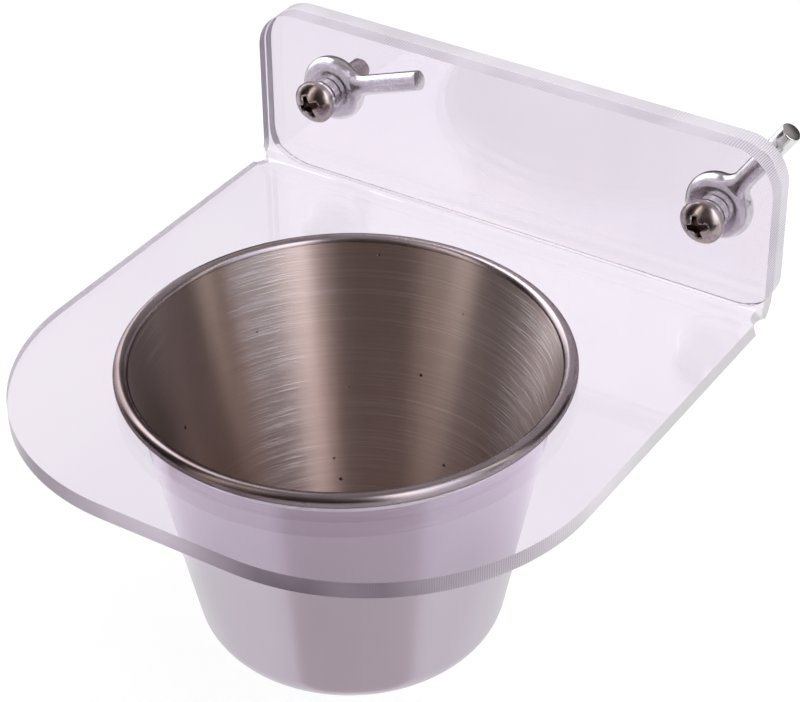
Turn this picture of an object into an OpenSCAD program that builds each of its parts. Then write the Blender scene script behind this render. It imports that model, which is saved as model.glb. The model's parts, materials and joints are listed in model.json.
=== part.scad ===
// Seed cup on a clear bracket that clamps to the wires of a bird cage.
// The origin lies midway between the two clamp screws, on the back face of the front plate,
// where the cage wires bear. +X points right for someone facing the cage, +Y goes through the
// wires into the clamp and +Z points up.

/* [Acrylic sheet] */
// Thickness of the sheet that both clear parts are cut from
sheet_t = 3; // [2:0.5:5]
// Width of the bracket and of the clamp plate
plate_w = 105; // [96:1:140]
// Height of the front plate above the top face of the shelf
plate_h = 31; // [26:1:60]
// Radius of the rounded corners of both plates
plate_corner_r = 8; // [3:0.5:10]
// Inside radius of the hot bend between front plate and shelf
bend_r = 3; // [2:0.5:5]

/* [Shelf] */
// Depth of the bracket, from the back face of the front plate to the front of the shelf
shelf_d = 105; // [100:1:140]
// Radius of the two front corners of the shelf
shelf_corner_r = 40; // [10:1:46]
// Distance from the back face of the front plate to the centre of the cup
cup_y = 54; // [52:1:60]
// Space left round the wall of the cup where it passes through the shelf
hole_clearance = 0.3; // [0.2:0.05:0.4]

/* [Cup] */
// Outside diameter of the rolled rim
rim_d = 78; // [70:1:84]
// Height of the cup from its base to the top of the rim
cup_h = 56; // [40:1:80]
// Diameter of the base, measured where the wall would meet it without a rounded corner
base_d = 52; // [44:1:64]
// Outside radius of the rounded corner between wall and base
base_corner_r = 8; // [3:0.5:12]
// Thickness of the steel
cup_wall = 0.6; // [0.4:0.1:0.8]
// Outside diameter of the roll that forms the rim
bead_d = 2.6; // [2.2:0.1:4]

/* [Screws] */
// Distance from each end of the plates to the screw nearest to it
screw_inset = 12.5; // [10:0.5:20]
// Height of the screws above the top face of the shelf
screw_up = 15; // [12:1:20]
// Thread diameter of the screws
screw_d = 4; // [3:0.5:5]
// Length of the screws under the head
screw_len = 18; // [16:1:30]
// Diameter of the pan heads
head_d = 8; // [7:0.5:10]
// Height of the pan heads
head_h = 3.1; // [2.4:0.1:4]
// Diameter of the screw holes in both plates
screw_hole_d = 6; // [5.5:0.5:6.5]
// Distance across the cross recess
recess_w = 5; // [3:0.1:5.2]
// Depth of the cross recess
recess_depth = 2; // [1:0.1:2.2]
// Angle at which the left screw's cross recess stands, up from the level
recess_left_angle = 26; // [0:1:90]
// Angle at which the right screw's cross recess stands, up from the level
recess_right_angle = 17; // [0:1:90]

/* [Lever nuts] */
// Outside diameter of the threaded eye
eye_d = 12.6; // [11:0.2:15]
// Thickness of the eye along the screw
eye_t = 4.4; // [4:0.1:6]
// Diameter of the straight lever
lever_d = 3.7; // [3:0.1:3.9]
// Length of the lever, from the centre of the eye to its flat end
lever_len = 20; // [14:0.5:30]
// Radius of the fillets that blend the lever into the eye
neck_r = 3; // [1.5:0.5:4]
// Angle at which the left lever stands, up from the level
lever_left_angle = 20; // [0:1:90]
// Angle at which the right lever stands, up from the level
lever_right_angle = 56; // [0:1:90]

/* [Hidden] */
$fn = 96;

// Gap between the two plates when the clamp is closed on nothing
plate_gap = 0.3;
// Gap between a rim or nut and the face that it bears on
seat_gap = 0.1;
// Radial running clearance of the screw in the eye, which stands for the thread
thread_clearance = 0.05;
// Round relief at each end of the bend: its radius, how deep it cuts into the width, and its
// place on the bend, counted from the front plate towards the shelf
relief_r = 2;
relief_depth = 1.4;
relief_angle = 67;
// Chamfers at the tip of the screw, the mouth of the eye and the end of the lever
tip_chamfer = 0.5;
eye_chamfer = 0.7;
lever_chamfer = 0.3;
// Height of the straight side of the screw head, and the width of one wing of its recess
head_side_h = 1;
wing_w = 1.2;
// Direction in which the rim's roll ends, counted from straight outwards
roll_end_angle = 245;
// Overrun of every cut
cut = 1;

// Places that follow from the sizes above
screw_span = plate_w - 2 * screw_inset;
shelf_top = -screw_up;
shelf_bottom = shelf_top - sheet_t;
plate_top = shelf_top + plate_h;
bend_line = sheet_t + bend_r;
clamp_back = plate_gap + sheet_t;
shelf_corner_x = plate_w / 2 - shelf_corner_r;
shelf_corner_y = shelf_corner_r - shelf_d;

// The cup's wall is the line from the base that just touches the inside of the rolled rim
bead_r = bead_d / 2;
bead_x = rim_d / 2 - bead_r;
bead_z = cup_h - bead_r;
roll_inner_r = bead_r - cup_wall;
wall_reach = norm([bead_x - base_d / 2, bead_z]);
draft = atan2(bead_x - base_d / 2, bead_z) - asin(roll_inner_r / wall_reach);
base_corner_x = base_d / 2 + base_corner_r * tan(draft) - base_corner_r / cos(draft);
cup_z = shelf_top + seat_gap + bead_d - cup_h;
wall_at_shelf_r = base_d / 2 + (shelf_top - cup_z) * tan(draft);
cup_hole_d = 2 * (wall_at_shelf_r + hole_clearance);

// Crown of the screw head: the sphere through its top and the top of its straight side
head_r = head_d / 2;
crown_h = head_h - head_side_h;
crown_r = (head_r * head_r + crown_h * crown_h) / (2 * crown_h);

// Eye of the lever nut, with its neck: the fillets touch both the eye and the lever
eye_r = eye_d / 2;
eye_bore_r = screw_d / 2 + thread_clearance;
eye_round_r = eye_t / 2;
eye_front = clamp_back + seat_gap;
lever_r = lever_d / 2;
neck_end = sqrt(pow(eye_r + neck_r, 2) - pow(lever_r + neck_r, 2));
neck_touch_share = eye_r / (eye_r + neck_r);
neck_half_w = (lever_r + neck_r) * neck_touch_share;
neck_touch = neck_end * neck_touch_share;

module screw_holes() {
  for (side = [-1, 1])
    translate([side * screw_span / 2, 0])
      circle(d = screw_hole_d);
}

// A plate standing on its lower edge, drawn flat, with round corners at the top
// and, if asked for, at the bottom
module plate_outline(low, round_bottom) {
  flat_w = plate_w - 2 * plate_corner_r;
  low_side = round_bottom ? low + plate_corner_r : low;
  translate([-plate_w / 2, low_side])
    square([plate_w, plate_top - plate_corner_r - low_side]);
  translate([-flat_w / 2, low])
    square([flat_w, plate_top - low]);
  for (side = [-1, 1]) {
    translate([side * flat_w / 2, plate_top - plate_corner_r])
      circle(r = plate_corner_r);
    if (round_bottom)
      translate([side * flat_w / 2, low + plate_corner_r])
        circle(r = plate_corner_r);
  }
}

// The shelf seen from above, from the bend line to its rounded front
module shelf_outline() {
  translate([-plate_w / 2, shelf_corner_y])
    square([plate_w, -bend_line - shelf_corner_y]);
  translate([-shelf_corner_x, -shelf_d])
    square([2 * shelf_corner_x, shelf_corner_r]);
  for (side = [-1, 1])
    translate([side * shelf_corner_x, shelf_corner_y])
      circle(r = shelf_corner_r);
}

// Quarter tube of sheet between the upright and the level part
module bend() {
  translate([-plate_w / 2, -bend_line, shelf_top + bend_r])
    rotate([0, 90, 0])
      rotate_extrude(angle = 90)
        translate([bend_r, 0])
          square([sheet_t, plate_w]);
}

// Notches in both ends of the bend, cut square to the sheet
module bend_reliefs() {
  for (side = [-1, 1])
    translate([side * (plate_w / 2 + relief_r - relief_depth), -bend_line, shelf_top + bend_r])
      rotate([-90 - relief_angle, 0, 0])
        cylinder(h = bend_r + sheet_t + cut, r = relief_r);
}

module bracket() {
  color([0.93, 0.89, 0.95, 0.5])
    difference() {
      union() {
        rotate([90, 0, 0])
          linear_extrude(sheet_t)
            difference() {
              plate_outline(shelf_top + bend_r, false);
              screw_holes();
            }
        bend();
        translate([0, 0, shelf_bottom])
          linear_extrude(sheet_t)
            difference() {
              shelf_outline();
              translate([0, -cup_y]) circle(d = cup_hole_d, $fn = 180);
            }
      }
      bend_reliefs();
    }
}

module clamp_plate() {
  color([0.93, 0.89, 0.95, 0.5])
    translate([0, clamp_back, 0])
      rotate([90, 0, 0])
        linear_extrude(sheet_t)
          difference() {
            plate_outline(shelf_bottom, true);
            screw_holes();
          }
}

// Crossed slots and a cone, sunk into the crown of the head
module cross_recess() {
  translate([0, 0, -head_h]) {
    for (turn = [0, 90])
      rotate([0, 0, turn])
        translate([-recess_w / 2, -wing_w / 2, -cut])
          cube([recess_w, wing_w, recess_depth + cut]);
    cylinder(h = recess_depth, r1 = recess_w / 3, r2 = wing_w / 2);
  }
}

// A pan head screw with its bearing face on the ground and its tip up
module pan_screw() {
  difference() {
    rotate([180, 0, 0])
      rotate_extrude()
        intersection() {
          square([head_r, head_h]);
          translate([0, head_h - crown_r]) circle(r = crown_r);
        }
    cross_recess();
  }
  cylinder(h = screw_len - tip_chamfer, d = screw_d);
  translate([0, 0, screw_len - tip_chamfer])
    cylinder(h = tip_chamfer, r1 = screw_d / 2, r2 = screw_d / 2 - tip_chamfer);
}

module place_screw(side, angle) {
  color([0.62, 0.6, 0.62])
    translate([side * screw_span / 2, -sheet_t, 0])
      rotate([-90, 0, 0])
        rotate([0, 0, -angle])
          pan_screw();
}

module screw_left() place_screw(-1, recess_left_angle);
module screw_right() place_screw(1, recess_right_angle);

// Section of the eye, from the axis of its bore outwards
module eye_section() {
  difference() {
    union() {
      translate([eye_r - eye_round_r, eye_round_r]) circle(r = eye_round_r);
      translate([eye_bore_r, 0]) square([eye_r - eye_round_r - eye_bore_r, eye_t]);
    }
    polygon([[0, -eye_chamfer], [eye_bore_r + 2 * eye_chamfer, -eye_chamfer], [0, eye_bore_r + eye_chamfer]]);
    translate([0, eye_t])
      polygon([[0, eye_chamfer], [eye_bore_r + 2 * eye_chamfer, eye_chamfer], [0, -eye_bore_r - eye_chamfer]]);
  }
}

// Flare between eye and lever, turned round the axis of the lever and kept as flat as the lever
module neck() {
  rotate([0, 90, 0])
    rotate_extrude()
      difference() {
        translate([0, neck_touch / 2]) square([neck_half_w, neck_end - neck_touch / 2]);
        translate([lever_r + neck_r, neck_end]) circle(r = neck_r);
      }
}

// The nut with its bore upright and its lever along +X
module lever_nut() {
  difference() {
    union() {
      rotate_extrude() eye_section();
      translate([0, 0, eye_round_r]) {
        intersection() {
          neck();
          translate([0, -eye_d / 2, -lever_r]) cube([lever_len, eye_d, lever_d]);
        }
        rotate([0, 90, 0]) {
          translate([0, 0, neck_touch / 2])
            cylinder(h = lever_len - lever_chamfer - neck_touch / 2, d = lever_d);
          translate([0, 0, lever_len - lever_chamfer])
            cylinder(h = lever_chamfer, r1 = lever_r, r2 = lever_r - lever_chamfer);
        }
      }
    }
    translate([0, 0, -cut]) cylinder(h = eye_t + 2 * cut, r = eye_bore_r);
  }
}

module place_nut(side, angle) {
  color([0.8, 0.78, 0.8])
    translate([side * screw_span / 2, eye_front, 0])
      rotate([-90, 0, 0])
        rotate([0, 0, -angle])
          lever_nut();
}

module lever_nut_left() place_nut(-1, lever_left_angle);
module lever_nut_right() place_nut(1, lever_right_angle);

// Points where the wall meets the round corner of the base and the roll of the rim
function corner_touch(r) = [base_corner_x + r * cos(draft), base_corner_r - r * sin(draft)];
function roll_touch(r) = [bead_x - r * cos(draft), bead_z + r * sin(draft)];

// All that lies inside the wall's outer face, shrunk by inset, closed by the given top points
module cup_filled(inset, top_points) {
  intersection() {
    square([rim_d, cup_h]);
    union() {
      polygon(concat(
        [[0, inset], [base_corner_x, inset], corner_touch(base_corner_r - inset)],
        top_points));
      translate([base_corner_x, base_corner_r]) circle(r = base_corner_r - inset);
    }
  }
}

// The rim's roll, drawn round its own centre: a ring that is open between its curled end
// and the wall
module rim_roll() {
  wall_point = roll_inner_r * [-cos(draft), sin(draft)];
  difference() {
    circle(r = bead_r);
    circle(r = roll_inner_r);
    polygon([
      [0, 0],
      wall_point,
      wall_point + bead_d * [-sin(draft), -cos(draft)],
      bead_d * [cos(roll_end_angle), sin(roll_end_angle)]
    ]);
  }
}

module cup() {
  color([0.66, 0.62, 0.6])
    translate([0, -cup_y, cup_z])
      rotate_extrude($fn = 180) {
        difference() {
          cup_filled(0, [roll_touch(roll_inner_r), roll_touch(bead_r), [0, roll_touch(bead_r)[1]]]);
          cup_filled(cup_wall, [roll_touch(bead_r), [0, cup_h]]);
        }
        translate([bead_x, bead_z]) rim_roll();
      }
}

bracket();
clamp_plate();
screw_left();
screw_right();
lever_nut_left();
lever_nut_right();
cup();
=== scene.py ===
# %% [markdown]
# This lesson dresses a seed cup for a bird cage. The real object is a drawn steel cup that hangs
# by its rolled rim in a clear acrylic shelf, with a second clear plate, two screws and two lever
# nuts that pinch the wires of the cage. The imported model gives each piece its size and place.
# Every piece is modelled again here with softened edges and finer form, and gets its finish.

# %% Load the frame
import json
import math

import bmesh
import bpy
from mathutils import Matrix, Vector

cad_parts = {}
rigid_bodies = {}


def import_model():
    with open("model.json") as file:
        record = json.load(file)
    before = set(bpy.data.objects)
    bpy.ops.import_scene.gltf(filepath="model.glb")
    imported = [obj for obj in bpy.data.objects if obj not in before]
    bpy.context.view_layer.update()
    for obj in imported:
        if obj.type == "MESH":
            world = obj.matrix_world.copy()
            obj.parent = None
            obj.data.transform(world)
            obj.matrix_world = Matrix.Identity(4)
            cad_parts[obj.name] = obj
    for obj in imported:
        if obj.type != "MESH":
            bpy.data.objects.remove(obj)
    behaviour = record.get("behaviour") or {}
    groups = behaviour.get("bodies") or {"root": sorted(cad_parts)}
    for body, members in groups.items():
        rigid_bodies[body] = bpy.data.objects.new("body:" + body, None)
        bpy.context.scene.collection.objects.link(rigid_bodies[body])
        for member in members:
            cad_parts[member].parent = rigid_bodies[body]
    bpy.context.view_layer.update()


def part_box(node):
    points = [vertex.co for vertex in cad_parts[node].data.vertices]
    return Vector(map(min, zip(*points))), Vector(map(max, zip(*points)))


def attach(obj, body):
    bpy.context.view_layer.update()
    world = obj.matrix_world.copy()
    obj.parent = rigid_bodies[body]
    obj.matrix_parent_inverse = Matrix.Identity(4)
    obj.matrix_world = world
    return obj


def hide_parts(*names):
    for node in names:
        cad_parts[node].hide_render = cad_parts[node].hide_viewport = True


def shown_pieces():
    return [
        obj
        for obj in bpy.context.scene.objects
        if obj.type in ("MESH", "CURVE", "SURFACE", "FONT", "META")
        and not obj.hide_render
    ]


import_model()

mm = 0.001

# %% [markdown]
# The bracket and the clamp plate of the real object come from one stock of 3 mm acrylic. What a
# node's box shows, such as a width or a thickness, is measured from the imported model, so that
# both always agree. Only what a box can't show, such as a corner's radius, is written as a value.

# %% Sizes of the clear pieces
shelf_low, shelf_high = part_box("bracket")
clamp_low, clamp_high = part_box("clamp_plate")
sheet = clamp_high.y - clamp_low.y
half_width = shelf_high.x
bend_inside = 3 * mm
shelf_top = shelf_low.z + sheet
bend_y = -(sheet + bend_inside)
bend_z = shelf_top + bend_inside
shelf_corner = 40 * mm
plate_corner = 8 * mm
shelf_corner_steps = 48
plate_corner_steps = 24
sheet_soft = 0.15 * mm
print("sheet", round(sheet / mm, 2), "mm, bracket", round(2 * half_width / mm, 1), "mm wide")

# %% Sizes of the holes for the screws and of the bend's reliefs
head_radius = 4 * mm
screw_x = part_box("screw_right")[1].x - head_radius
screw_hole = 3 * mm
sides = (-1, 1)
relief_radius = 2 * mm
relief_depth = 1.4 * mm
relief_place = math.radians(67)
relief_cut = bend_inside + sheet + 1 * mm
drill_length = 20 * mm
print("screws", round(2 * screw_x / mm, 1), "mm apart")

# %% [markdown]
# The hole in the shelf is only a little wider than the cup's wall at that height, so the cup's
# sizes come next. Its wall is the straight line from the base that just touches the inside of
# the rolled rim. The line's angle could be found by trial, but two triangles give it exactly.

# %% The cup's place and taper
cup_low, cup_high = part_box("cup")
cup_axis = (cup_low + cup_high) / 2
cup_tall = cup_high.z - cup_low.z
rim_radius = (cup_high.x - cup_low.x) / 2
base_radius = 26 * mm
base_round = 8 * mm
steel = 0.6 * mm
roll_outer = 1.3 * mm
roll_inner = roll_outer - steel
roll_x = rim_radius - roll_outer
roll_z = cup_tall - roll_outer
cup_steps = 192
reach = math.hypot(roll_x - base_radius, roll_z)
draft = math.atan2(roll_x - base_radius, roll_z) - math.asin(roll_inner / reach)
hole_clearance = 0.3 * mm
hole_radius = base_radius + (shelf_top - cup_low.z) * math.tan(draft) + hole_clearance
print("draft", round(math.degrees(draft), 2), "degrees, hole", round(2 * hole_radius / mm, 2), "mm")

# %% [markdown]
# Each piece starts as a primitive and is shaped in edit mode, as by hand. Blender's operators act
# on whatever is selected, and loading the frame leaves its nodes selected, so every step first
# selects one object alone, and then the faces or edges that it needs, by their place or normal.

# %% Selecting and editing one object


def alone(obj):
    """Makes obj the one selected and active object."""
    bpy.ops.object.select_all(action="DESELECT")
    obj.select_set(True)
    bpy.context.view_layer.objects.active = obj


def edit(obj, mode):
    """Opens obj in edit mode, choosing vertices, edges or faces, with none selected."""
    alone(obj)
    bpy.ops.object.mode_set(mode="EDIT")
    bpy.ops.mesh.select_mode(type=mode)
    bpy.ops.mesh.select_all(action="DESELECT")


def pick(obj, kind, wanted):
    """In edit mode, selects only the verts, edges or faces that wanted accepts."""
    bpy.ops.mesh.select_all(action="DESELECT")
    mesh = bmesh.from_edit_mesh(obj.data)
    for item in getattr(mesh, kind):
        if wanted(item):
            item.select_set(True)
    bmesh.update_edit_mesh(obj.data)


def close_edit():
    bpy.ops.object.mode_set(mode="OBJECT")


def is_at(edge, axis, place, room=0.01 * mm):
    """True if both ends of an edge have that coordinate."""
    return all(abs(vert.co[axis] - place) < room for vert in edge.verts)


def runs_along(edge, axis):
    """True if an edge runs along that axis."""
    span = edge.verts[1].co - edge.verts[0].co
    return abs(span[axis]) > 0.999 * span.length


print("selected after loading:", sum(obj.select_get() for obj in bpy.context.scene.objects), "nodes")

# %% [markdown]
# The bracket is one sheet of clear acrylic, cut to outline and bent over a hot wire. A sheet like
# this could be a curve with thickness, but then the bend would be guesswork. Here it is made in
# the order of the real one: a flat shelf, its front corners rounded by a bevel, its back edge
# spun a quarter turn round the bend, and the upright drawn up from there.

# %% A box and a clean mesh
doubled = 0.001 * mm


def block(name, low, high):
    """A box from its lowest to its highest corner, with its place in its mesh."""
    low, high = Vector(low), Vector(high)
    bpy.ops.mesh.primitive_cube_add(size=1, location=(low + high) / 2, scale=high - low)
    obj = bpy.context.object
    obj.name = name
    alone(obj)
    bpy.ops.object.transform_apply()
    return obj


def weld(obj):
    """Merges doubled vertices and turns all faces outwards."""
    edit(obj, "VERT")
    bpy.ops.mesh.select_all(action="SELECT")
    bpy.ops.mesh.remove_doubles(threshold=doubled)
    bpy.ops.mesh.normals_make_consistent(inside=False)
    close_edit()


# %% Shelf, bend and upright
front_left_low = (-half_width, shelf_low.y, shelf_low.z)
bracket = block("bracket_sheet", front_left_low, (half_width, bend_y, shelf_top))
edit(bracket, "EDGE")
pick(bracket, "edges", lambda e: runs_along(e, 2) and is_at(e, 1, shelf_low.y))
bpy.ops.mesh.bevel(offset=shelf_corner, segments=shelf_corner_steps, affect="EDGES")
pick(bracket, "faces", lambda f: f.normal.y > 0.99)
bpy.ops.mesh.spin(steps=16, angle=math.radians(90), center=(0, bend_y, bend_z), axis=(-1, 0, 0))
pick(bracket, "faces", lambda f: f.normal.z > 0.99 and all(is_at(e, 2, bend_z) for e in f.edges))
rise = shelf_high.z - bend_z
bpy.ops.mesh.extrude_region_move(TRANSFORM_OT_translate={"value": (0, 0, rise)})
pick(bracket, "edges", lambda e: runs_along(e, 1) and is_at(e, 2, shelf_high.z))
bpy.ops.mesh.bevel(offset=plate_corner, segments=plate_corner_steps, affect="EDGES")
close_edit()
weld(bracket)
print("bracket blank:", len(bracket.data.polygons), "faces")

# %% [markdown]
# The holes of the real sheet are drilled and bored, and a round notch at each end of the bend
# keeps the hot plastic from bulging there. Holes could be built from loops of faces, but a
# boolean is the drill itself: a rod is placed where the drill would go and taken away.

# %% Drills and other cutters


def rod(name, middle, direction, radius, length, sides_round=64):
    """A cylinder round its middle, along a direction, with its place in its mesh."""
    turn = Vector(direction).to_track_quat("Z", "Y").to_euler()
    bpy.ops.mesh.primitive_cylinder_add(
        vertices=sides_round, radius=radius, depth=length, location=middle, rotation=turn
    )
    obj = bpy.context.object
    obj.name = name
    alone(obj)
    bpy.ops.object.transform_apply()
    return obj


def apply_modifier(obj, kind, **settings):
    """Adds one modifier, sets it up and applies it."""
    alone(obj)
    modifier = obj.modifiers.new(kind.lower(), kind)
    for name, value in settings.items():
        setattr(modifier, name, value)
    bpy.ops.object.modifier_apply(modifier=modifier.name)


def combine(obj, other, operation="DIFFERENCE"):
    """Cuts other out of obj, or joins or intersects them, and removes other."""
    apply_modifier(obj, "BOOLEAN", operation=operation, object=other, solver="EXACT")
    bpy.data.objects.remove(other)


def drill_screw_hole(plate, side):
    combine(plate, rod("cutter", (side * screw_x, 0, 0), (0, 1, 0), screw_hole, drill_length))


# %% Holes and bend reliefs
cup_drill = rod("cutter", (0, cup_axis.y, shelf_top), (0, 0, 1), hole_radius, drill_length, cup_steps)
combine(bracket, cup_drill)
relief_out = Vector((0, math.cos(relief_place), -math.sin(relief_place)))
for side in sides:
    drill_screw_hole(bracket, side)
    relief_x = side * (half_width + relief_radius - relief_depth)
    middle = Vector((relief_x, bend_y, bend_z)) + relief_out * relief_cut / 2
    combine(bracket, rod("cutter", middle, relief_out, relief_radius, relief_cut))
print("bracket with holes:", len(bracket.data.polygons), "faces")

# %% [markdown]
# No real edge is perfectly sharp, and a soft one catches a thin line of light. A narrow bevel
# does that, and weighted normals keep the flats flat beside it. The finished piece then stands
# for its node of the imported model: it rides on that node's body when the joints move.

# %% Softened edges and finished pieces


def soften(obj, width, steps=2, sharp=35):
    """Rounds every sharp edge a little and shades the flats flat and the curves smooth."""
    weld(obj)
    bpy.ops.object.shade_smooth()
    apply_modifier(
        obj, "BEVEL", width=width, segments=steps, limit_method="ANGLE",
        angle_limit=math.radians(sharp), harden_normals=True, use_clamp_overlap=True,
    )
    apply_modifier(obj, "WEIGHTED_NORMAL", mode="FACE_AREA", weight=80)


def settle(obj, node):
    """The piece stands for its node and rides on that node's body."""
    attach(obj, node)
    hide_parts(node)
    mesh = bmesh.new()
    mesh.from_mesh(obj.data)
    open_edges = sum(1 for edge in mesh.edges if not edge.is_manifold)
    volume = round(mesh.calc_volume() / mm**3)
    print(obj.name, len(obj.data.polygons), "faces,", open_edges, "open edges,", volume, "mm3")
    mesh.free()


soften(bracket, sheet_soft)
settle(bracket, "bracket")

# %% [markdown]
# The clamp plate is a plain rectangle of the same sheet with four round corners. It lies behind
# the upright, and the wires of the cage go between the two. It could be a copy of the upright,
# but it reaches lower and is flat, so a box with four bevelled edges is simpler.

# %% Clamp plate
clamp_plate = block("clamp_sheet", clamp_low, clamp_high)
edit(clamp_plate, "EDGE")
pick(clamp_plate, "edges", lambda e: runs_along(e, 1))
bpy.ops.mesh.bevel(offset=plate_corner, segments=plate_corner_steps, affect="EDGES")
close_edit()
for side in sides:
    drill_screw_hole(clamp_plate, side)
soften(clamp_plate, sheet_soft)
settle(clamp_plate, "clamp_plate")

# %% [markdown]
# The cup is drawn from one disc of steel and its edge is rolled outwards. It is a body of
# revolution, so its section is drawn once, vertex by vertex, and spun round the cup's axis.
# A cylinder could be shaped into it, but the roll and the even wall come out truer this way.

# %% Drawing and spinning a section


def drawn_section(name, points):
    """A chain of edges in the XZ plane, extruded vertex by vertex from the first point."""
    bpy.ops.mesh.primitive_plane_add(size=mm)
    obj = bpy.context.object
    obj.name = name
    edit(obj, "VERT")
    bpy.ops.mesh.select_all(action="SELECT")
    bpy.ops.mesh.merge(type="CENTER")
    here = Vector((0, 0))
    start = True
    for point in points:
        step = Vector(point) - here
        move = {"value": (step.x, 0, step.y)}
        if start:
            bpy.ops.transform.translate(**move)
        else:
            bpy.ops.mesh.extrude_region_move(TRANSFORM_OT_translate=move)
        here = Vector(point)
        start = False
    close_edit()
    return obj


def spun(obj, steps):
    """Spins the drawn section a full turn round the Z axis and welds it shut."""
    edit(obj, "VERT")
    bpy.ops.mesh.select_all(action="SELECT")
    bpy.ops.mesh.spin(steps=steps, angle=math.tau, center=(0, 0, 0), axis=(0, 0, 1))
    close_edit()
    weld(obj)
    return obj


def arc(centre, radius, start, end, steps):
    """Points of an arc, with its angles in degrees from straight outwards."""
    turns = [math.radians(start + (end - start) * step / steps) for step in range(steps + 1)]
    return [(centre[0] + radius * math.cos(t), centre[1] + radius * math.sin(t)) for t in turns]


# %% The cup's section
tilt = math.degrees(draft)
corner_x = base_radius + base_round * math.tan(draft) - base_round / math.cos(draft)
corner = (corner_x, base_round)
roll = (roll_x, roll_z)
wall_side = 180 - tilt
roll_end = -115
outside = [(0, 0)] + arc(corner, base_round, -90, -tilt, 16)
curl = arc(roll, roll_inner, wall_side, roll_end, 30) + arc(roll, roll_outer, roll_end, wall_side, 40)
inside = arc(corner, base_round - steel, -tilt, -90, 16) + [(0, steel)]
cup = drawn_section("steel_cup", outside + curl + inside)
print("section:", len(cup.data.vertices), "points")

# %% The spun cup
spun(cup, cup_steps)
cup.location = (cup_axis.x, cup_axis.y, cup_low.z)
alone(cup)
bpy.ops.object.transform_apply()
bpy.ops.object.shade_smooth_by_angle(angle=math.radians(40))
settle(cup, "cup")

# %% [markdown]
# The screws are M4 pan heads. On the real one the head is pressed into a low dome on a short
# drum. A sphere cut by a plane gives the dome with its true curve, where a scaled half ball
# would be too steep at the rim, and the cut face is drawn down to make the drum.

# %% The head's dome and drum
head_side = 1 * mm
head_tall = 3.1 * mm
crown = head_tall - head_side
crown_radius = (head_radius**2 + crown**2) / (2 * crown)


def screw_head():
    """The head with its bearing face at the origin and its crown towards -Z."""
    bpy.ops.mesh.primitive_uv_sphere_add(
        segments=64, ring_count=48, radius=crown_radius, location=(0, 0, crown_radius - head_tall)
    )
    head = bpy.context.object
    alone(head)
    bpy.ops.object.transform_apply()
    edit(head, "VERT")
    bpy.ops.mesh.select_all(action="SELECT")
    bpy.ops.mesh.bisect(
        plane_co=(0, 0, -head_side), plane_no=(0, 0, 1), clear_outer=True, use_fill=True
    )
    bpy.ops.mesh.select_mode(type="FACE")
    pick(head, "faces", lambda f: f.normal.z > 0.99 and f.calc_center_median().z > -1.01 * head_side)
    bpy.ops.mesh.extrude_region_move(TRANSFORM_OT_translate={"value": (0, 0, head_side)})
    close_edit()
    weld(head)
    return head


head = screw_head()
print("crown radius", round(crown_radius / mm, 2), "mm, head", len(head.data.polygons), "faces")

# %% [markdown]
# The cross recess is struck into the head by a punch with four tapered wings, and each corner
# between two wings is rounded. Cutting wedges one by one would leave seams, so the punch itself
# is modelled: a square core with a wing drawn out of each side, then narrowed to its tip.

# %% The punch for the cross
punch_core = 0.64 * mm
punch_wing = 2.7 * mm
punch_depth = 2 * mm
punch_corner = 0.4 * mm
tip_share = 0.55
over = 1 * mm


def cross_punch():
    """A plus with tapered wings and rounded inner corners."""
    top = -head_tall - over
    low, high = (-punch_core, -punch_core, top), (punch_core, punch_core, punch_depth - head_tall)
    punch = block("punch", low, high)
    edit(punch, "FACE")
    for out in ((1, 0), (-1, 0), (0, 1), (0, -1)):
        pick(punch, "faces", lambda f: f.normal.xy.dot(Vector(out)) > 0.9
             and abs(f.calc_center_median().x) + abs(f.calc_center_median().y) < 1.01 * punch_core)
        step = (punch_wing - punch_core) * Vector((*out, 0))
        bpy.ops.mesh.extrude_region_move(TRANSFORM_OT_translate={"value": step})
    bpy.ops.mesh.select_mode(type="VERT")
    pick(punch, "verts", lambda v: v.co.z > top + over / 2 and v.co.xy.length > 1.5 * punch_core)
    bpy.ops.transform.resize(value=(tip_share, tip_share, 1), center_override=(0, 0, 0))
    bpy.ops.mesh.select_mode(type="EDGE")
    pick(punch, "edges", lambda e: abs(e.verts[0].co.z - e.verts[1].co.z) > over
         and all(max(abs(v.co.x), abs(v.co.y)) < 1.05 * punch_core for v in e.verts))
    bpy.ops.mesh.bevel(offset=punch_corner, segments=4, affect="EDGES")
    close_edit()
    weld(punch)
    return punch


# %% Head with its cross and softened edges
head_soft = 0.16 * mm
combine(head, cross_punch())
weld(head)
alone(head)
bpy.ops.object.shade_smooth()
apply_modifier(head, "BEVEL", width=head_soft, segments=2, limit_method="ANGLE",
               angle_limit=math.radians(38), harden_normals=True, use_clamp_overlap=False)
print("head with its cross:", len(head.data.polygons), "faces")

# %% [markdown]
# The thread of a real screw is rolled between plates. A bump could fake it, but these screws
# show from the side through clear plates, so the thread is real: one zigzag outline that the
# Screw modifier turns and lifts by a pitch each turn, trimmed by a rod with a chamfered end.

# %% Thread sizes
pitch = 0.7 * mm
thread_radius = 2 * mm
thread_root = 1.62 * mm
thread_crest_shares = (0.45, 0.55)
screw_length = 18 * mm
tip_chamfer = 0.5 * mm
turns = math.ceil(screw_length / pitch) + 3
thread_start = -1.5 * pitch
print("thread of", turns, "turns before it is trimmed")

# %% Threaded shank


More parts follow.
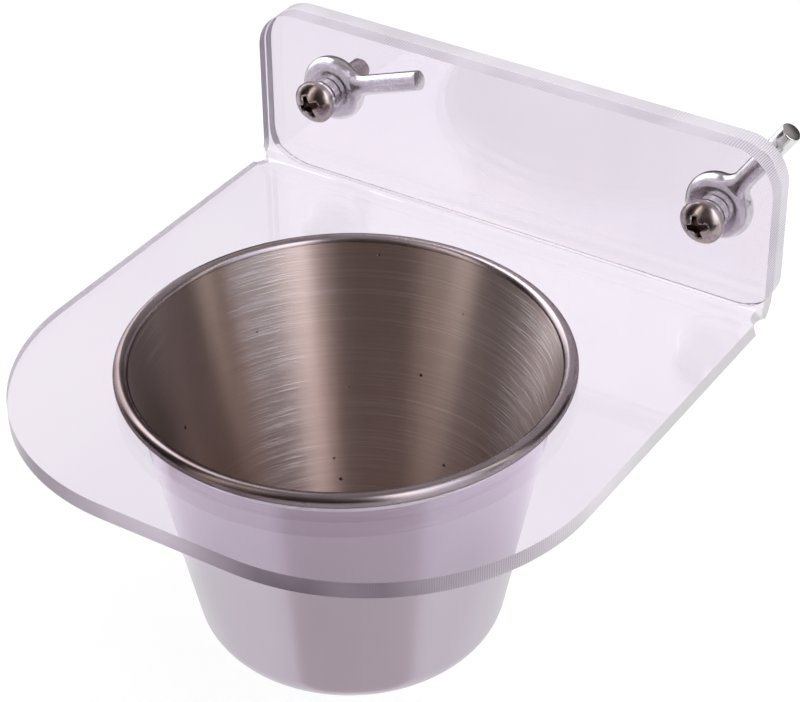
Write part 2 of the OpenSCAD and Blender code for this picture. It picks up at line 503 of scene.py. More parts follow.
def threaded_shank():
    """The shank from the head's bearing face up, trimmed to length with a chamfered tip."""
    zigzag = [(0, thread_start), (thread_root, thread_start)]
    for turn in range(turns):
        low = thread_start + turn * pitch
        zigzag += [(thread_radius, low + share * pitch) for share in thread_crest_shares]
        zigzag += [(thread_root, low + pitch)]
    zigzag += [(0, thread_start + turns * pitch)]
    shank = drawn_section("shank", zigzag)
    apply_modifier(
        shank, "SCREW", angle=math.tau, screw_offset=pitch, steps=32, render_steps=32,
        use_merge_vertices=True, merge_threshold=doubled,
    )
    edit(shank, "EDGE")
    bpy.ops.mesh.select_all(action="SELECT")
    bpy.ops.mesh.remove_doubles(threshold=doubled)
    bpy.ops.mesh.select_all(action="DESELECT")
    bpy.ops.mesh.select_non_manifold()
    bpy.ops.mesh.edge_face_add()
    bpy.ops.mesh.select_all(action="SELECT")
    bpy.ops.mesh.normals_make_consistent(inside=False)
    close_edit()
    trim = rod("trim", (0, 0, screw_length / 2), (0, 0, 1), thread_radius * 1.02, screw_length)
    edit(trim, "EDGE")
    pick(trim, "edges", lambda e: is_at(e, 2, screw_length))
    bpy.ops.mesh.bevel(offset=tip_chamfer, segments=1, affect="EDGES")
    close_edit()
    combine(shank, trim, "INTERSECT")
    return shank


shank = threaded_shank()
alone(shank)
bpy.ops.object.shade_smooth_by_angle(angle=math.radians(50))
combine(head, shank, "UNION")
print("screw:", len(head.data.polygons), "faces")

# %% [markdown]
# Both screws, and later both nuts, are the same part, so each is modelled once and copied, and
# every copy gets its own mesh. The photograph shows at what angle each cross and each lever
# stands, and the copies are turned to it before their place goes into their mesh.

# %% Both screws


def placed_copy(model, name, place, angle):
    """A copy of a part that was made along Z, now along +Y and turned up from the level."""
    copy = model.copy()
    copy.data = model.data.copy()
    copy.name = name
    bpy.context.scene.collection.objects.link(copy)
    turn = Matrix.Rotation(-math.pi / 2, 4, "X") @ Matrix.Rotation(-math.radians(angle), 4, "Z")
    copy.matrix_world = Matrix.Translation(place) @ turn
    alone(copy)
    bpy.ops.object.transform_apply()
    return copy


for name, side, angle in (("screw_left", -1, 26), ("screw_right", 1, 17)):
    screw = placed_copy(head, "pan_" + name, (side * screw_x, -sheet, 0), angle)
    settle(screw, name)
bpy.data.objects.remove(head)

# %% [markdown]
# A lever nut is a threaded eye with a straight round rod, used like a wing nut with one wing.
# On the real one eye and lever run into each other. The eye's section is spun round the bore,
# and the rod's root is flared into it by extruding its end in steps, each a little wider.

# %% Lever nut sizes
eye_radius = 6.3 * mm
eye_thick = 4.4 * mm
eye_round = eye_thick / 2
bore_radius = 2.05 * mm
bore_chamfer = 0.7 * mm
lever_radius = 1.85 * mm
lever_length = 20 * mm
lever_soft = 0.25 * mm
lever_root = 3.9 * mm
neck_fillet = 3 * mm
neck_end = math.sqrt((eye_radius + neck_fillet) ** 2 - (lever_radius + neck_fillet) ** 2)
neck_touch = neck_end * eye_radius / (eye_radius + neck_fillet)
print("neck from", round(neck_touch / mm, 2), "to", round(neck_end / mm, 2), "mm from the bore's axis")

# %% The eye


def eye():
    """The eye with its bore along Z and its front face at the origin."""
    lip = bore_radius + bore_chamfer
    bulge = arc((eye_radius - eye_round, eye_round), eye_round, -90, 90, 24)
    bore = [(lip, eye_thick), (bore_radius, eye_thick - bore_chamfer), (bore_radius, bore_chamfer)]
    return spun(drawn_section("eye", [(lip, 0)] + bulge + bore + [(lip, 0)]), 96)


nut = eye()
print("eye:", len(nut.data.polygons), "faces")

# %% The lever with its flared root
neck_steps = 8


def lever():
    """The rod along +X, with its root flared into the eye."""
    straight = lever_length - neck_end
    middle = (neck_end + straight / 2, 0, eye_round)
    piece = rod("lever", middle, (1, 0, 0), lever_radius, straight, 48)
    edit(piece, "FACE")
    pick(piece, "faces", lambda f: f.normal.x < -0.99)
    place = neck_end
    half = lever_radius
    for step in range(1, neck_steps + 1):
        target = neck_end - (neck_end - neck_touch) * step / neck_steps
        wide = lever_radius + neck_fillet - math.sqrt(neck_fillet**2 - (neck_end - target) ** 2)
        bpy.ops.mesh.extrude_region_move(TRANSFORM_OT_translate={"value": (target - place, 0, 0)})
        bpy.ops.transform.resize(value=(1, wide / half, 1), center_override=(target, 0, eye_round))
        place = target
        half = wide
    bpy.ops.mesh.extrude_region_move(TRANSFORM_OT_translate={"value": (lever_root - place, 0, 0)})
    bpy.ops.mesh.select_mode(type="EDGE")
    pick(piece, "edges", lambda e: is_at(e, 0, lever_length))
    bpy.ops.mesh.bevel(offset=lever_soft, segments=3, affect="EDGES")
    close_edit()
    return piece


combine(nut, lever(), "UNION")
weld(nut)
alone(nut)
bpy.ops.object.shade_smooth_by_angle(angle=math.radians(32))
print("nut:", len(nut.data.polygons), "faces")

# %% Both lever nuts
nut_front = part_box("lever_nut_left")[0].y
for name, side, angle in (("lever_nut_left", -1, 20), ("lever_nut_right", 1, 56)):
    turned = placed_copy(nut, "turned_" + name, (side * screw_x, nut_front, 0), angle)
    settle(turned, name)
bpy.data.objects.remove(nut)

# %% [markdown]
# Materials are built from nodes. Written out one by one, shader maths is hard to read, so a
# small class wraps a node's output and lets Python's own plus, minus and times add Math nodes.

# %% Shader maths in plain Python


class Socket:
    """One output of a node. Sums and products with it become Math nodes."""

    def __init__(self, tree, output):
        self.tree, self.output = tree, output

    def maths(self, operation, first, second):
        return self.tree.node("ShaderNodeMath", {"operation": operation}, {0: first, 1: second})

    def __add__(self, other):
        return self.maths("ADD", self, other)

    def __sub__(self, other):
        return self.maths("SUBTRACT", self, other)

    def __rsub__(self, other):
        return self.maths("SUBTRACT", other, self)

    def __mul__(self, other):
        return self.maths("MULTIPLY", self, other)

    __radd__, __rmul__ = __add__, __mul__


class Tree:
    """A material's or the world's node tree."""

    def __init__(self, owner):
        owner.use_nodes = True
        self.nodes, self.links = owner.node_tree.nodes, owner.node_tree.links
        self.nodes.clear()

    def node(self, kind, settings=None, sockets=None, out=0):
        """Adds a node, sets it up, then fills or links its sockets and returns one output."""
        made = self.nodes.new(kind)
        for name, value in (settings or {}).items():
            if name == "stops":
                elements = made.color_ramp.elements
                while len(elements) < len(value):
                    elements.new(1)
                for element, (place, colour) in zip(elements, value):
                    element.position, element.color = place, (*colour, 1)
            else:
                setattr(made, name, value)
        for name, value in (sockets or {}).items():
            if isinstance(value, Socket):
                self.links.new(value.output, made.inputs[name])
            else:
                made.inputs[name].default_value = value
        return Socket(self, made.outputs[out]) if made.outputs else None


def new_material(name):
    material = bpy.data.materials.new(name)
    print("finish:", name)
    return material, Tree(material)


# %% [markdown]
# No real finish is even. Its small changes could come from a photograph of the surface, but
# that would need an image, and noise from nodes stays sharp at any distance. The noise is read
# in the object's own coordinates, so a pattern stays on its piece when the piece moves.

# %% Coordinates and noise


def place_about(tree, centre=(0, 0, 0), stretch=(1, 1, 1)):
    """Object coordinates with their zero at centre, stretched for long thin patterns."""
    where = tree.node("ShaderNodeTexCoord", out="Object")
    shift = [-c * s for c, s in zip(centre, stretch)]
    return tree.node("ShaderNodeMapping", {}, {"Vector": where, "Location": shift, "Scale": stretch})


def askew(tree, where, turns, stretch):
    """Turned first and stretched after, for strokes that run a little off the level."""
    turned = tree.node("ShaderNodeMapping", {}, {"Vector": where, "Rotation": turns})
    return tree.node("ShaderNodeMapping", {}, {"Vector": turned, "Scale": stretch})


def along(tree, where, letter):
    """One coordinate of a place: X, Y or Z."""
    return tree.node("ShaderNodeSeparateXYZ", {}, {"Vector": where}, out=letter)


def noise(tree, where, scale, detail=2, rough=0.5):
    sockets = {"Vector": where, "Scale": scale, "Detail": detail, "Roughness": rough}
    return tree.node("ShaderNodeTexNoise", {}, sockets, out="Fac")


# %% Values, colours and bumps


def size_of(tree, value):
    """A value without its sign."""
    return tree.node("ShaderNodeMath", {"operation": "ABSOLUTE"}, {0: value})


def stretch_to(tree, value, low, high, start=0, end=1):
    """Maps start..end to low..high and keeps to those limits."""
    return tree.node("ShaderNodeMapRange", {"clamp": True}, {
        "Value": value, "From Min": start, "From Max": end, "To Min": low, "To Max": high})


def ramp(tree, value, *stops):
    """A colour ramp through the given places and colours."""
    return tree.node("ShaderNodeValToRGB", {"stops": stops}, {"Fac": value}, out="Color")


def blended(tree, share, colour, other):
    """A colour with a share of another one over it."""
    return tree.node("ShaderNodeMix", {"data_type": "RGBA"}, {
        "Factor": share, "A": colour, "B": (*other, 1)}, out=2)


def bumped(tree, height, strength, depth):
    """A normal that leans as if the surface rose and fell with height."""
    return tree.node("ShaderNodeBump", {}, {
        "Height": height, "Strength": strength, "Distance": depth})


def principled(tree, **sockets):
    """A Principled shader on the material's output; underscores in names stand for spaces."""
    values = {name.replace("_", " "): value for name, value in sockets.items()}
    shader = tree.node("ShaderNodeBsdfPrincipled", {}, values)
    tree.node("ShaderNodeOutputMaterial", {}, {"Surface": shader})


# %% [markdown]
# Clear acrylic lets through all the light that doesn't mirror off it, with a faint lilac cast
# from the room. It could be a mix of a transparent and a glossy shader, but then nothing behind
# the sheet would shift. Full transmission with acrylic's index of 1.49 bends the view truly.

# %% Clear sheet


def clear_finish(name, tint, paler):
    """Acrylic with a slightly cloudy tint and so little haze that it still looks polished."""
    material, tree = new_material(name)
    cloud = noise(tree, place_about(tree), 28, 1)
    colour = ramp(tree, cloud, (0.35, tint), (0.65, paler))
    smear = noise(tree, place_about(tree), 90, 3)
    haze = stretch_to(tree, smear, 0.0, 0.035, 0.45, 0.75)
    principled(tree, Base_Color=colour, Roughness=haze, Transmission_Weight=1, IOR=1.49,
               Specular_IOR_Level=0.1)
    return material


clear_bracket = clear_finish("clear_bracket", (0.82, 0.77, 0.85), (0.84, 0.79, 0.865))
clear_clamp = clear_finish("clear_clamp", (0.985, 0.97, 0.985), (0.99, 0.98, 0.99))

# %% [markdown]
# The cut edges are another finish. A saw leaves fine lines across the thickness, which scatter
# light, so an edge looks pale grey and only half clear. The lines could be modelled, but at two
# to the millimetre they are colour and bump. Their count has to run on round the corners, so it
# goes by the way out from the middle plus the way down, or on the shelf plus the way back.

# %% Saw lines
saw_pitch = 0.55 * mm
saw_sway = 7


def saw_lines(tree, where, across, onward):
    """A wave with a crest at each saw line, swayed a little so that no line is quite straight."""
    count = (size_of(tree, across) + onward) * (math.tau / saw_pitch)
    sway = noise(tree, where, 220, 1) * saw_sway
    return tree.node("ShaderNodeMath", {"operation": "SINE"}, {0: count + sway})


# %% Cut edge
lines_from, lines_to = 38 * mm, 47 * mm
pale_towards_back = (1, 0.96, 1)


def edge_finish(name, onward, dark, pale, streaks, clear, painted_cup_shade=None, sides=None):
    """A cut edge. onward is the letter and sign of the coordinate that the count goes on along,
    streaks the strength of the saw lines and clear the share of light that goes through.
    painted_cup_shade gives the place on X where a painted shade is darkest and how far that reaches;
    it stands in for the dark cup seen through the edge. sides gives the places on the letter's
    coordinate between which the edge turns pale."""
    material, tree = new_material(name)
    where = place_about(tree)
    across = along(tree, where, "X")
    letter, sign = onward
    further = along(tree, where, letter)
    wave = saw_lines(tree, where, across, further * sign)
    patches = noise(tree, where, 70, 2)
    corner = stretch_to(tree, across, 0, 0.75, lines_from, lines_to)
    shown = (stretch_to(tree, patches, 0.02, 0.5, 0.5, 0.64) + corner) * streaks
    shade = stretch_to(tree, noise(tree, where, 45, 2), 0.4, 0.6, 0.35, 0.65)
    mixed = wave * shown * 0.5 + shade
    bump = bumped(tree, mixed, 0.4, 0.1 * mm)
    # Painted shade: the edge is darkened about one place on X, standing in for the dark cup seen
    # through it.
    if painted_cup_shade:
        darkest, spread = painted_cup_shade
        off = size_of(tree, across - darkest)
        mixed = mixed + stretch_to(tree, off, -0.4, 0, 0.3 * spread, spread)
    colour = ramp(tree, mixed, (0.05, dark), (0.52, pale))
    # Between the two places given by sides, the edge's colour is blended towards a paler one.
    if sides:
        colour = blended(tree, stretch_to(tree, further, 0, 1, *sides), colour, pale_towards_back)
    principled(tree, Base_Color=colour, Roughness=0.34, Normal=bump, Transmission_Weight=clear,
               IOR=1.49, Specular_IOR_Level=0.3)
    return material


down, ahead = ("Z", -1), ("Y", 1)
# The upright's edge is a darker copy of the clamp's: painted shade, so that a line shows where the two
# sheets' edges meet.
upright_edge = edge_finish("cut_edge_upright", down, (0.3, 0.27, 0.32), (0.78, 0.72, 0.82),
                           streaks=1, clear=0.1)
clamp_edge = edge_finish("cut_edge_clamp", down, (0.42, 0.39, 0.45), (0.9, 0.85, 0.93),
                         streaks=0.8, clear=0.15)
# The shelf's edge gets a painted shade, darkest at 26.5 mm on X, where the cup stands behind the edge.
shelf_edge = edge_finish("cut_edge_shelf", ahead, (0.2, 0.15, 0.2), (0.84, 0.75, 0.86),
                         streaks=0.3, clear=0.45, painted_cup_shade=(26.5 * mm, 30 * mm),
                         sides=(-85 * mm, -60 * mm))
# Painted shade: the upright's front arris is painted dark, as a dark line along the edge.
arris = edge_finish("sheet_arris", down, (0.3, 0.27, 0.32), (0.5, 0.46, 0.53), streaks=0, clear=0.1)

# %% [markdown]
# A mesh can carry several finishes, and each of its faces points to one. They could be set by
# hand in edit mode. A small chooser that looks at each face's place and normal does the same,
# and it still works after a size has changed.

# %% Faces or edges of the sheets


def finish_faces(obj, finishes, chooser):
    """Gives each face of obj the finish whose number the chooser returns, and counts them."""
    obj.data.materials.clear()
    for finish in finishes:
        obj.data.materials.append(finish)
    counts = [0] * len(finishes)
    for polygon in obj.data.polygons:
        polygon.material_index = chooser(polygon)
        counts[polygon.material_index] += 1
    print(obj.name, dict(zip([finish.name for finish in finishes], counts)))


def on_bracket_face(polygon):
    """True for the big polished faces of the bracket, false for its cut edges."""
    normal, centre = polygon.normal, polygon.center
    if abs(normal.x) > 0.05:
        return False
    if centre.z > bend_z:
        return abs(normal.y) > 0.99
    if centre.y < bend_y:
        return abs(normal.z) > 0.99
    return True


def in_screw_hole(polygon):
    """True for the wall of a drilled hole, which is as clear as the faces."""
    centre = polygon.center
    return math.hypot(abs(centre.x) - screw_x, centre.z) < screw_hole + 0.2 * mm


def bracket_part(polygon):
    """0 clear, 1 cut edge of the upright, 2 cut edge of the shelf, 3 the upright's front arris."""
    if on_bracket_face(polygon) or in_screw_hole(polygon):
        return 0
    if polygon.center.z < bend_z:
        return 2
    return 3 if -0.97 < polygon.normal.y < -0.1 else 1


def clamp_part(polygon):
    """0 clear, 1 cut edge; the lower edge lies in the shade and looks clear."""
    clear = abs(polygon.normal.y) > 0.99 or polygon.normal.z < -0.5
    return 0 if clear or in_screw_hole(polygon) else 1


finish_faces(bracket, (clear_bracket, upright_edge, shelf_edge, arris), bracket_part)
finish_faces(clamp_plate, (clear_clamp, clamp_edge), clamp_part)

# %% [markdown]
# The inside of the cup was ground round and round, so its fine scratches run along the wall and smear
# reflections up and down. Such a grain can be real lines in a bump, or a stretched reflection. Both
# are used: the anisotropy for what is too fine to see, the bump for the scratches that show. In two
# bands round the axis there are more scratches, with strokes that cross the first ones, and they are
# painted paler there: real grain, and a painted glint where the scratches catch the light.

# %% Places round the cup's axis
axis_place = (cup_axis.x, cup_axis.y, cup_low.z)


def cup_noise(tree, stretch, detail, rough=0.5):
    """Noise about the cup's axis. A big stretch on Z makes thin level lines."""
    return noise(tree, place_about(tree, axis_place, stretch), 1, detail, rough)


def turn_about(tree, where):
    """The direction from the axis, in degrees from +X."""
    parts = {0: along(tree, where, "Y"), 1: along(tree, where, "X")}
    return tree.node("ShaderNodeMath", {"operation": "ARCTAN2"}, parts) * (180 / math.pi)


def near_turn(tree, turn, middle, inner, outer, most=1):
    """most within inner degrees of a direction round the axis, fading to 0 at outer."""
    return stretch_to(tree, size_of(tree, turn - middle), most, 0, inner, outer)


# %% Scratches of the inside
brushed, tree = new_material("brushed_steel_inside")
here = place_about(tree, axis_place)
turn = turn_about(tree, here)
fine = cup_noise(tree, (30, 30, 3200), 3, 0.6)
coarse = cup_noise(tree, (26, 26, 2300), 2, 0.7)
patches = cup_noise(tree, (45, 45, 14), 1)
# Two bands round the axis get more scratches, painted paler below: real grain, and a painted glint
# where the scratches catch the light.
scratch_glint_bands = near_turn(tree, turn, 150, 5, 14) + near_turn(tree, turn, 52, 12, 22)
scratched = stretch_to(tree, patches, 0, 0.5, 0.48, 0.6) + scratch_glint_bands * 0.5
first = noise(tree, askew(tree, here, (0.07, 0.04, 0), (75, 75, 2600)), 1, 2, 0.7)
crossed = noise(tree, askew(tree, here, (-0.03, -0.07, 0), (90, 90, 3000)), 1, 2, 0.7)
strokes = stretch_to(tree, first, 0, 1, 0.56, 0.68) + stretch_to(tree, crossed, 0, 1, 0.58, 0.7)
grooves = stretch_to(tree, coarse, 0, 1, 0.52, 0.68) * scratched + strokes * scratch_glint_bands

# %% Pits and the whole inside
spots = {"Vector": here, "Scale": 170}
pit_distance = tree.node("ShaderNodeTexVoronoi", {"feature": "F1"}, spots, out="Distance")
pits = stretch_to(tree, pit_distance, 1, 0, 0.04, 0.08)
smudges = cup_noise(tree, (70, 70, 40), 3)
tone = fine * 0.4 + coarse * 0.3 + smudges * 0.3
# Painted shade: towards the left as seen, the inside's colour is blended towards a dark brown,
# standing in for less light mirrored there.
rightward = along(tree, here, "X") * 0.84 + along(tree, here, "Y") * 0.54
painted_dark_left = stretch_to(tree, rightward, 0.75, 0, -31 * mm, -25 * mm)
colour = ramp(tree, tone, (0.3, (0.46, 0.375, 0.35)), (0.7, (0.57, 0.475, 0.445)))
colour = blended(tree, painted_dark_left, colour, (0.24, 0.21, 0.2))
colour = blended(tree, stretch_to(tree, grooves, 0, 0.6), colour, (0.72, 0.68, 0.7))
colour = blended(tree, pits, colour, (0.05, 0.04, 0.035))
bump = bumped(tree, fine * 0.35 + grooves - pits * 2, 0.4, 0.08 * mm)
rough = stretch_to(tree, fine, 0.32, 0.38, 0.3, 0.7)
principled(tree, Base_Color=colour, Metallic=1, Roughness=rough, Normal=bump,
           Anisotropic=1, Anisotropic_Rotation=0.25)

# %% [markdown]
# The outside is polished and nearly mirrors, yet drawing the cup left it a touch uneven. A
# perfect mirror would look like chrome, so the roughness varies in faint upright bands and a
# weak bump ripples the reflections a little.

# %% Polished outside of the cup
polished, tree = new_material("polished_steel_outside")
drawn = cup_noise(tree, (60, 60, 6), 2)
colour = ramp(tree, drawn, (0.3, (0.555, 0.49, 0.57)), (0.7, (0.6, 0.535, 0.615)))
rough = stretch_to(tree, drawn, 0.2, 0.26, 0.3, 0.7)
bump = bumped(tree, cup_noise(tree, (40, 40, 120), 2), 0.1, 0.2 * mm)
principled(tree, Base_Color=colour, Metallic=1, Roughness=rough, Normal=bump)

# %% [markdown]
# In the photograph the rolled rim looks darker than the walls, and darker brown on one side. Both are
# painted shade here, for the dark that the rim mirrors: its base colour is darker than the walls', and
# on that side a darker brown is blended in. A second finish on those faces would end in a hard line,
# so the brown is blended in by the direction from the cup's axis, broken up by noise.

# %% Rolled rim
rim_steel, tree = new_material("rolled_rim_steel")
drawn = cup_noise(tree, (90, 90, 300), 2)
# Painted shade: the rim's base colour is darker than the walls', for the dark that it mirrors.
colour = ramp(tree, drawn, (0.3, (0.33, 0.28, 0.29)), (0.7, (0.38, 0.33, 0.34)))
here = place_about(tree, axis_place)
blotch = stretch_to(tree, noise(tree, here, 60, 3), 0.6, 1, 0.35, 0.65)
# Painted shade: a darker brown is blended in about one direction from the axis, broken up by noise,
# for the dark that the rim mirrors on that side.
painted_dark_side = near_turn(tree, turn_about(tree, here), -108, 35, 78, 0.85) * blotch
colour = blended(tree, painted_dark_side, colour, (0.1, 0.07, 0.065))
rough = stretch_to(tree, drawn, 0.22, 0.3, 0.3, 0.7)
principled(tree, Base_Color=colour, Metallic=1, Roughness=rough, Specular_Tint=(0.5, 0.45, 0.47, 1))

# %% Outside, inside or rim


def cup_part(polygon):
    """0 outside, 1 inside, 2 rolled rim."""
    if polygon.center.z > cup_low.z + roll_z - roll_outer * 1.05:
        return 2
    out = (polygon.center - cup_axis).xy.normalized()
    floor_inside = polygon.normal.z > 0.5
    return 1 if floor_inside or polygon.normal.xy.dot(out) < -0.2 else 0


finish_faces(cup, (polished, brushed, rim_steel), cup_part)

# %% [markdown]
# Screws and nuts are plated. Plating is bright and smooth, with soft unevenness that bends the
# reflections a little. The cross is painted dark inside, a painted shade for the shadow in its recess,
# and the bevel round it is paler. That paler bevel could be painted, but here it is simply its own
# finish.

# %% Plated steel


def plated(name, dark, pale, low, high):
    """Metal between two tones and two roughnesses, uneven at the size of a grain of sand."""
    material, tree = new_material(name)
    cloud = noise(tree, place_about(tree), 700, 2)
    colour = ramp(tree, cloud, (0.3, dark), (0.7, pale))
    rough = stretch_to(tree, cloud, low, high, 0.3, 0.7)
    bump = bumped(tree, cloud, 0.12, 0.1 * mm)
    principled(tree, Base_Color=colour, Metallic=1, Roughness=rough, Normal=bump)
    return material


crown_steel = plated("plated_screw", (0.3, 0.25, 0.245), (0.45, 0.385, 0.375), 0.19, 0.27)
# Painted shade: the recess gets a near black colour for the shadow in it. The bevel round the cross
# gets a pale colour.
recess_painted_shade = plated("screw_recess_painted_shade", (0.14, 0.09, 0.08), (0.25, 0.165, 0.15), 0.25, 0.35)
pale_edge_steel = plated("pale_recess_edge", (0.8, 0.74, 0.73), (0.88, 0.82, 0.81), 0.25, 0.35)
nut_steel = plated("polished_nut", (0.6, 0.61, 0.59), (0.72, 0.73, 0.71), 0.18, 0.28)

# %% Crown, recess painted as shade, or pale edge
pale_band_starts = 0.012 * mm
pale_band_ends = 0.14 * mm
recess_reach = 3 * mm
shank_room = 0.5 * mm


def screw_part(screw):
    """A chooser for one screw: 0 plated, 1 inside the recess, painted dark as shade, 2 on the recess's
    pale edge.
    """
    centre_x = sum(corner[0] for corner in screw.bound_box) / 8
    middle = Vector((centre_x, crown_radius - head_tall - sheet, 0))

    def chooser(polygon):
        off = polygon.center - middle
        depth = crown_radius - off.length
        near_axis = math.hypot(off.x, off.z) < recess_reach
        on_shank = polygon.center.y > -sheet - shank_room
        if on_shank or not near_axis or depth < pale_band_starts:
            return 0
        return 1 if depth > pale_band_ends else 2

    return chooser


for screw in [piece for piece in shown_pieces() if piece.name.startswith("pan_")]:
    finish_faces(screw, (crown_steel, recess_painted_shade, pale_edge_steel), screw_part(screw))
for nut in [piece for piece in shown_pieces() if piece.name.startswith("turned_")]:
    finish_faces(nut, (nut_steel,), lambda polygon: 0)

# %% [markdown]
# The stage is a plain pale floor. The object hangs on a cage in use, so the floor lies well
# below it. A photographer's paper is lit until it is white. That could be done with strong
# lamps, but they would spoil the object, so the floor glows a little for the rays that come
# from the camera, from a mirror or through glass, and for no others.

# %% Telling rays apart


def seen_rays(tree, *kinds):
    """1 for the kinds of ray named, else 0."""
    found = 0
    for kind in kinds:
        ray = tree.node("ShaderNodeLightPath", out=kind)
        found = ray if found == 0 else tree.node(
            "ShaderNodeMath", {"operation": "MAXIMUM"}, {0: found, 1: ray})
    return found


def watched(tree):
    """1 for rays that show a surface to the camera, directly, mirrored or through glass."""
    return seen_rays(tree, "Is Camera Ray", "Is Glossy Ray", "Is Transmission Ray")


# %% Floor
floor_gap = 50 * mm
floor_z = cup_low.z - floor_gap
bpy.ops.mesh.primitive_plane_add(size=6, location=(0, 0, floor_z))
floor = bpy.context.object
floor.name = "floor"
pale, tree = new_material("pale_floor")
lit = tree.node("ShaderNodeBsdfDiffuse", {}, {"Color": (0.8, 0.8, 0.8, 1)})
glow = tree.node("ShaderNodeEmission", {}, {"Color": (1, 1, 1, 1), "Strength": 0.3})
both = tree.node("ShaderNodeAddShader", {}, {0: lit, 1: glow})
surface = tree.node("ShaderNodeMixShader", {}, {0: watched(tree), 1: lit, 2: both})
tree.node("ShaderNodeOutputMaterial", {}, {"Surface": surface})
floor.data.materials.append(pale)

# %% [markdown]
# The world is the paper behind the object. One white background could both light the scene and
# be seen, but pure white to look at is too much light for the clear plates. So the world is
# white where it is looked at, and a little dimmer as a lamp.

# %% World
world = bpy.data.worlds.new("studio")
bpy.context.scene.world = world
tree = Tree(world)
light = tree.node("ShaderNodeBackground", {}, {"Color": (1, 1, 1, 1), "Strength": 0.85})
white = tree.node("ShaderNodeBackground", {}, {"Color": (1, 1, 1, 1), "Strength": 1.0})
surface = tree.node("ShaderNodeMixShader", {}, {0: watched(tree), 1: light, 2: white})
tree.node("ShaderNodeOutputWorld", {}, {"Surface": surface})
print("world:", world.name)

# %% [markdown]
# Polished steel shows mostly what stands round it, and the light and dark bands in the real cup
# are a picture of the room, with pale paper and dark gaps. The bands could be painted on, but
# then they would stay put when the view turns. So cards stand round the cup, which only
# reflections see. Each is a profile of radii and heights, spun about the cup's axis.

# %% A card that only reflections see


def glow_strength(tree, profile, fade):
    """Goes from one strength to another between two heights, or two radii on a level card. fade
    holds the two places and then the two strengths."""
    start, end, low, high = fade
    where = tree.node("ShaderNodeTexCoord", out="Object")
    level = all(abs(height - profile[0][1]) < mm for radius, height in profile)
    if level:
        flat = tree.node("ShaderNodeVectorMath", {"operation": "MULTIPLY"}, {0: where, 1: (1, 1, 0)})
        place = tree.node("ShaderNodeVectorMath", {"operation": "LENGTH"}, {0: flat}, out="Value")
    else:
        place = along(tree, where, "Z")
    return stretch_to(tree, place, low, high, start, end)


def card(name, profile, middle, width, colour, fade=None):
    """A card swept round the cup, about an azimuth counted from the front in degrees."""
    obj = drawn_section(name, profile)
    obj.rotation_euler = (0, 0, math.radians(middle - width / 2 - 90))
    alone(obj)
    bpy.ops.object.transform_apply()
    edit(obj, "VERT")
    bpy.ops.mesh.select_all(action="SELECT")
    bpy.ops.mesh.spin(steps=24, angle=math.radians(width), center=(0, 0, 0), axis=(0, 0, -1))
    close_edit()
    obj.location = (cup_axis.x, cup_axis.y, 0)
    material, tree = new_material(name)
    strength = glow_strength(tree, profile, fade) if fade else 1
    glow = tree.node("ShaderNodeEmission", {}, {"Color": (*colour, 1), "Strength": strength})
    tree.node("ShaderNodeOutputMaterial", {}, {"Surface": glow})
    obj.data.materials.append(material)
    obj.visible_camera = obj.visible_diffuse = obj.visible_transmission = False
    obj.visible_shadow = obj.visible_volume_scatter = False


# %% Walls of the room, in metres
room_radius = 1.3
wall_top = 0.9
peak = (0.02, 1.45)
room_profile = [(room_radius, floor_z + 2 * mm), (room_radius, wall_top), peak]
brighter_up = (0.2, 1.4, 0.75, 2)


def wall(name, start, end, colour, fade=brighter_up):
    """A sector of the room between two azimuths, up to the middle of the ceiling."""
    card(name, room_profile, (start + end) / 2, end - start, colour, fade)


wall("dark_front", -9, 52, (0.07, 0.054, 0.05))
wall("bright_right", 52, 72, (2.7, 2.65, 2.75))
wall("pale_right", 72, 97, (1.35, 1.42, 1.6))
wall("dim_right", 97, 107, (0.1, 0.08, 0.08))
wall("pale_back_right", 107, 118, (1.7, 1.55, 1.48))
wall("dark_back", 118, 143, (0.03, 0.025, 0.025))
wall("grey_back", 143, 230, (0.5, 0.46, 0.47), (0.55, 0.85, 0.05, 1))
wall("pale_left", 230, 272, (3, 3, 3.15))
wall("dim_far_left", 272, 284, (0.35, 0.3, 0.32))
wall("dark_left", 284, 321, (0.02, 0.015, 0.015))
wall("bright_left", 321, 333, (2, 1.83, 1.75))
wall("dim_left", 333, 350, (0.5, 0.43, 0.41))

# %% Ceiling and cards on the floor
full_turn = 359.9


def floor_card(name, inner, outer, lift, middle, width, colour, fade=None):
    """A level card over the floor, between two radii."""
    height = floor_z + lift
    card(name, [(inner, height), (outer, height)], middle, width, colour, fade)


card("ceiling", [(0.01, 1.3), (0.3, 1.22), (0.62, 1.1)], 180, full_turn, (0.35, 0.32, 0.32))
floor_card("dark_floor", 0.1, room_radius, 2 * mm, -42, 84, (1, 0.8, 0.8), (0.1, 0.15, 0.7, 0.15))
floor_card("dark_floor_front", 0.17, room_radius, 2 * mm, 35, 70, (0.05, 0.04, 0.04))
floor_card("grey_card", 0.02, 0.17, 1.5 * mm, 35.5, 81, (1, 0.92, 0.93), (0.08, 0.11, 0.62, 0.98))
floor_card("ring_card", 0.005, 0.115, mm, 180, full_turn, (1, 1, 1), (0.075, 0.115, 0.84, 1.55))
floor_card("dark_floor_back", 0.2, room_radius, 2 * mm, 217, 36, (0.05, 0.035, 0.035))

# %% [markdown]
# Three soft boxes light what the cards don't: the clear plates' edges, the levers and the heads.
# Small lamps would make hard shadows under the shelf, so they are broad and near. They stay out
# of reflections, where the cards already stand for the room.

# %% Lamps, in metres
box_distance = 0.8


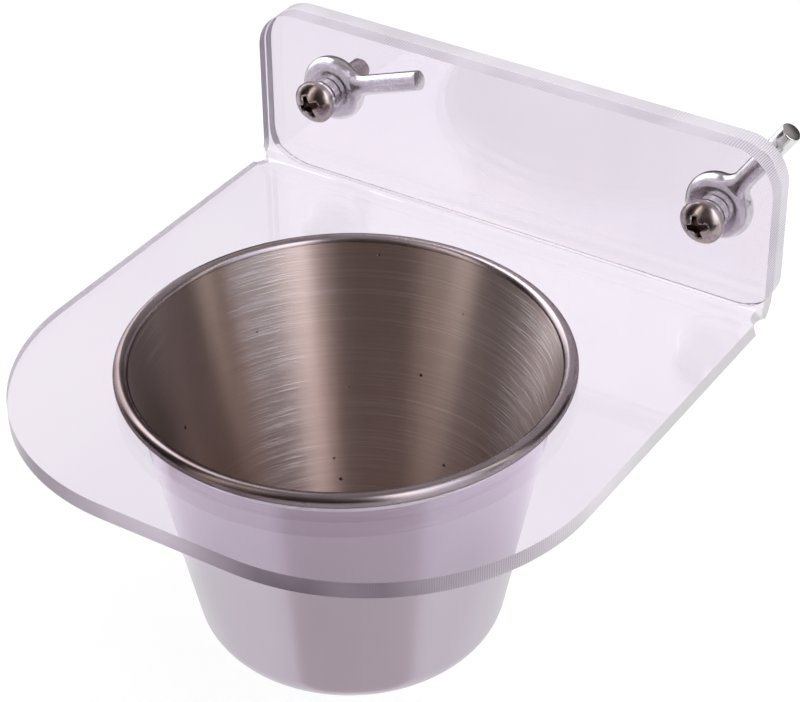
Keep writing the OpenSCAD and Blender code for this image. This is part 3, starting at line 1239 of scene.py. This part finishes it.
def soft_box(name, azimuth, elevation, size, brightness):
    """A soft box that looks at the cup from an azimuth and an elevation, in degrees."""
    turn, lift = math.radians(azimuth), math.radians(elevation)
    level = math.cos(lift)
    back = Vector((math.sin(turn) * level, -math.cos(turn) * level, math.sin(lift)))
    data = bpy.data.lights.new(name, "AREA")
    data.shape = "RECTANGLE"
    data.size, data.size_y = size
    data.energy = brightness * math.pi * size[0] * size[1]
    lamp = bpy.data.objects.new(name, data)
    lamp.location = Vector((cup_axis.x, cup_axis.y, 0)) + box_distance * back
    lamp.rotation_euler = back.to_track_quat("Z", "Y").to_euler()
    lamp.visible_glossy = False
    bpy.context.scene.collection.objects.link(lamp)
    print(name, round(data.energy, 2), "W")


soft_box("right_box", 57, 45, (0.30, 0.6), 2.2)
soft_box("left_box", -38, 50, (0.45, 0.45), 0.9)
soft_box("side_box", 100, 40, (0.40, 0.5), 0.8)

# %% [markdown]
# The camera stands where the photographer's did. It could be placed by eye, but it was fitted
# to the plates' corners, the screw heads, the rim and the base in the photograph. It looks down
# on the cup from the front right with a long lens. The Standard view leaves colours as they are.

# %% Camera
image_width = 800
focal_pixels = 2569.3
sensor = 36
camera_place = Vector((199.91, -344.05, 233.95)) * mm
yaw, pitch_down, roll_turn = (math.radians(a) for a in (33.097, -34.903, -0.866))
level = math.cos(pitch_down)
forward = Vector((-math.sin(yaw) * level, math.cos(yaw) * level, math.sin(pitch_down)))
right = Vector((math.cos(yaw), math.sin(yaw), 0))
upright = Matrix((right, right.cross(forward), -forward)).transposed()
turned_upright = upright @ Matrix.Rotation(roll_turn, 3, "Z")
camera_data = bpy.data.cameras.new("camera")
camera_data.sensor_width = sensor
camera_data.lens = focal_pixels * sensor / image_width
camera_data.clip_start, camera_data.clip_end = 0.01, 20
camera = bpy.data.objects.new("camera", camera_data)
camera.matrix_world = Matrix.Translation(camera_place) @ turned_upright.to_4x4()
bpy.context.scene.collection.objects.link(camera)
bpy.context.scene.camera = camera
bpy.context.scene.view_settings.view_transform = "Standard"
print("lens", round(camera_data.lens, 1), "mm on a sensor", sensor, "mm wide")
